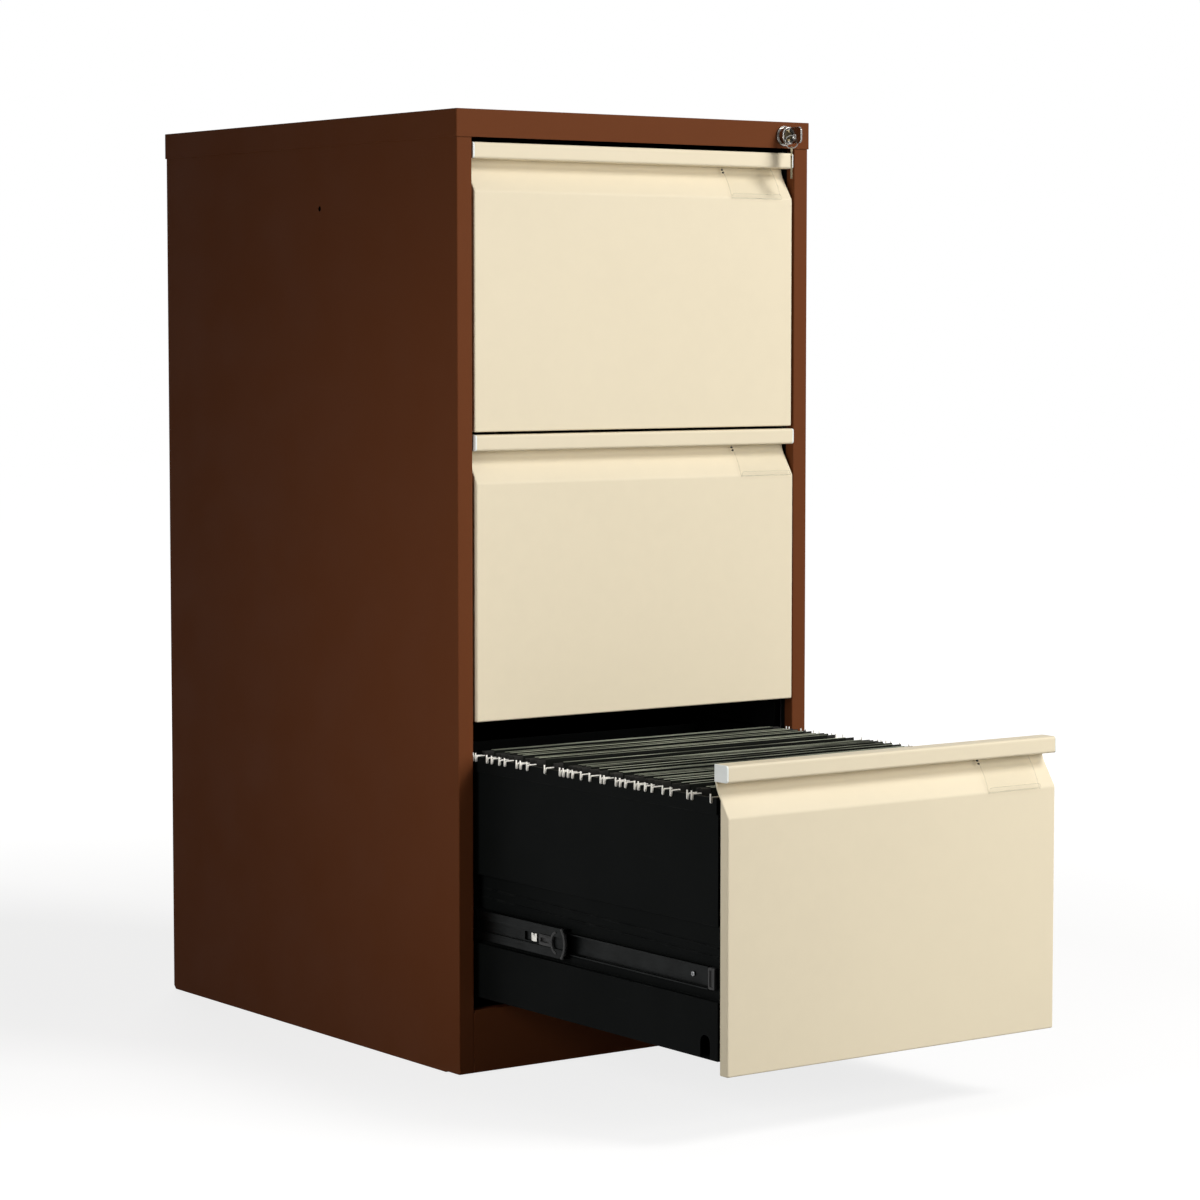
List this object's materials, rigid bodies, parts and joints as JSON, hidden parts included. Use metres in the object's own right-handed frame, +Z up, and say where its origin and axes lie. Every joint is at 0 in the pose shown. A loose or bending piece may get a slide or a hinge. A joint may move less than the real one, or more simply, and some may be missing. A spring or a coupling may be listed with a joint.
{
  "type": "filing cabinet",
  "caption": "Steel filing cabinet with wide drawers on telescopic slides, recessed full-width handles, clear label holders, a key lock and a drawer of hanging files.",
  "frame": {"origin": "centre of the carcass footprint, on the floor", "axes": "+Z up, -Y out of the drawer fronts, +X to the viewer's right when facing the fronts"},
  "size_m": [0.47, 1.0556, 1.016],
  "materials": {
    "brown_paint": "dark brown baked enamel, semi gloss",
    "cream_paint": "cream baked enamel, semi gloss",
    "dark_paint": "black baked enamel, semi gloss",
    "zinc": "zinc plated, dull",
    "slide_steel": "greased rolled steel",
    "chrome": "polished nickel",
    "brass": "polished, nickel washed",
    "cap_plastic": "moulded, satin",
    "clear_plastic": "clear moulded, glossy",
    "black_plastic": "moulded, matte",
    "file_card": "matte card"
  },
  "bodies": {
    "cabinet": {"side_panel_left": "brown_paint", "side_panel_right": "brown_paint", "back_panel": "brown_paint", "back_rivets": "zinc", "top_cap": "brown_paint", "lock_rail": "brown_paint", "plinth_front": "brown_paint", "base_pan": "dark_paint", "levelling_feet": "black_plastic", "posts_left": "dark_paint", "posts_right": "dark_paint", "lock_housing": "chrome", "bolt_guides": "zinc", "slide_outer_bottom_left": "slide_steel", "slide_outer_bottom_right": "slide_steel", "slide_outer_middle_left": "slide_steel", "slide_outer_middle_right": "slide_steel", "slide_outer_top_left": "slide_steel", "slide_outer_top_right": "slide_steel"},
    "drawer_bottom": {"front_panel_bottom": "cream_paint", "handle_bar_bottom": "cream_paint", "handle_caps_bottom": "cap_plastic", "label_holder_bottom": "clear_plastic", "tray_bottom": "dark_paint", "slide_inner_bottom_left": "slide_steel", "slide_inner_bottom_right": "slide_steel", "hanger_bars": "chrome", "file_pockets": "file_card"},
    "slide_middle_bottom": {"slide_middle_bottom_left": "slide_steel", "slide_middle_bottom_right": "slide_steel", "slide_clips_bottom": "zinc"},
    "slide_cages_bottom": {"slide_cages_bottom": "zinc"},
    "drawer_middle": {"front_panel_middle": "cream_paint", "handle_bar_middle": "cream_paint", "handle_caps_middle": "cap_plastic", "label_holder_middle": "clear_plastic", "tray_middle": "dark_paint", "slide_inner_middle_left": "slide_steel", "slide_inner_middle_right": "slide_steel"},
    "slide_middle_middle": {"slide_middle_middle_left": "slide_steel", "slide_middle_middle_right": "slide_steel", "slide_clips_middle": "zinc"},
    "slide_cages_middle": {"slide_cages_middle": "zinc"},
    "drawer_top": {"front_panel_top": "cream_paint", "handle_bar_top": "cream_paint", "handle_caps_top": "cap_plastic", "label_holder_top": "clear_plastic", "tray_top": "dark_paint", "slide_inner_top_left": "slide_steel", "slide_inner_top_right": "slide_steel"},
    "slide_middle_top": {"slide_middle_top_left": "slide_steel", "slide_middle_top_right": "slide_steel", "slide_clips_top": "zinc"},
    "slide_cages_top": {"slide_cages_top": "zinc"},
    "lock_plug": {"lock_plug": "brass", "lock_cam": "zinc"},
    "lock_bolt": {"lock_bolt": "zinc"},
    "key": {"key": "chrome"},
    "key_ring": {"key_ring": "chrome"},
    "spare_key": {"spare_key": "chrome"}
  },
  "joints": [
    {"name": "drawer_bottom_slide", "type": "slide", "parent": "cabinet", "child": "drawer_bottom", "axis": [0, -1, 0], "range_m": [-0.433, 0.127]},
    {"name": "slide_middle_bottom_slide", "type": "slide", "parent": "cabinet", "child": "slide_middle_bottom", "axis": [0, -1, 0], "range_m": [-0.2165, 0.0635]},
    {"name": "slide_cages_bottom_slide", "type": "slide", "parent": "cabinet", "child": "slide_cages_bottom", "axis": [0, -1, 0], "range_m": [-0.32475, 0.09525]},
    {"name": "drawer_middle_slide", "type": "slide", "parent": "cabinet", "child": "drawer_middle", "axis": [0, -1, 0], "range_m": [-0.003, 0.557]},
    {"name": "slide_middle_middle_slide", "type": "slide", "parent": "cabinet", "child": "slide_middle_middle", "axis": [0, -1, 0], "range_m": [-0.0015, 0.2785]},
    {"name": "slide_cages_middle_slide", "type": "slide", "parent": "cabinet", "child": "slide_cages_middle", "axis": [0, -1, 0], "range_m": [-0.00225, 0.41775]},
    {"name": "drawer_top_slide", "type": "slide", "parent": "cabinet", "child": "drawer_top", "axis": [0, -1, 0], "range_m": [0, 0.56]},
    {"name": "slide_middle_top_slide", "type": "slide", "parent": "cabinet", "child": "slide_middle_top", "axis": [0, -1, 0], "range_m": [0, 0.28]},
    {"name": "slide_cages_top_slide", "type": "slide", "parent": "cabinet", "child": "slide_cages_top", "axis": [0, -1, 0], "range_m": [0, 0.42]},
    {"name": "key_turn", "type": "hinge", "parent": "cabinet", "child": "lock_plug", "pos_m": [0.199, -0.3, 1.0005], "axis": [0, 1, 0], "range_deg": [0, 90]},
    {"name": "lock_bolt_slide", "type": "slide", "parent": "cabinet", "child": "lock_bolt", "axis": [0, 0, 1], "range_m": [0, 0.0045]},
    {"name": "key_pull", "type": "slide", "parent": "lock_plug", "child": "key", "axis": [0, -1, 0], "range_m": [0, 0.03]},
    {"name": "ring_swing", "type": "hinge", "parent": "key", "child": "key_ring", "pos_m": [0.199, -0.331, 0.999], "axis": [0.6157, 0.788, 0], "range_deg": [-40, 0]},
    {"name": "spare_swing", "type": "hinge", "parent": "key_ring", "child": "spare_key", "pos_m": [0.19584, -0.32853, 0.98627], "axis": [-0.788, 0.6157, 0], "range_deg": [-5, 60]}
  ],
  "couplings": [
    {"joint": "slide_middle_bottom_slide", "follows": "drawer_bottom_slide", "ratio": 0.5},
    {"joint": "slide_cages_bottom_slide", "follows": "drawer_bottom_slide", "ratio": 0.75},
    {"joint": "slide_middle_middle_slide", "follows": "drawer_middle_slide", "ratio": 0.5},
    {"joint": "slide_cages_middle_slide", "follows": "drawer_middle_slide", "ratio": 0.75},
    {"joint": "slide_middle_top_slide", "follows": "drawer_top_slide", "ratio": 0.5},
    {"joint": "slide_cages_top_slide", "follows": "drawer_top_slide", "ratio": 0.75},
    {"joint": "key_turn", "follows": "lock_bolt_slide", "rad_per_m": 349.07}
  ]
}
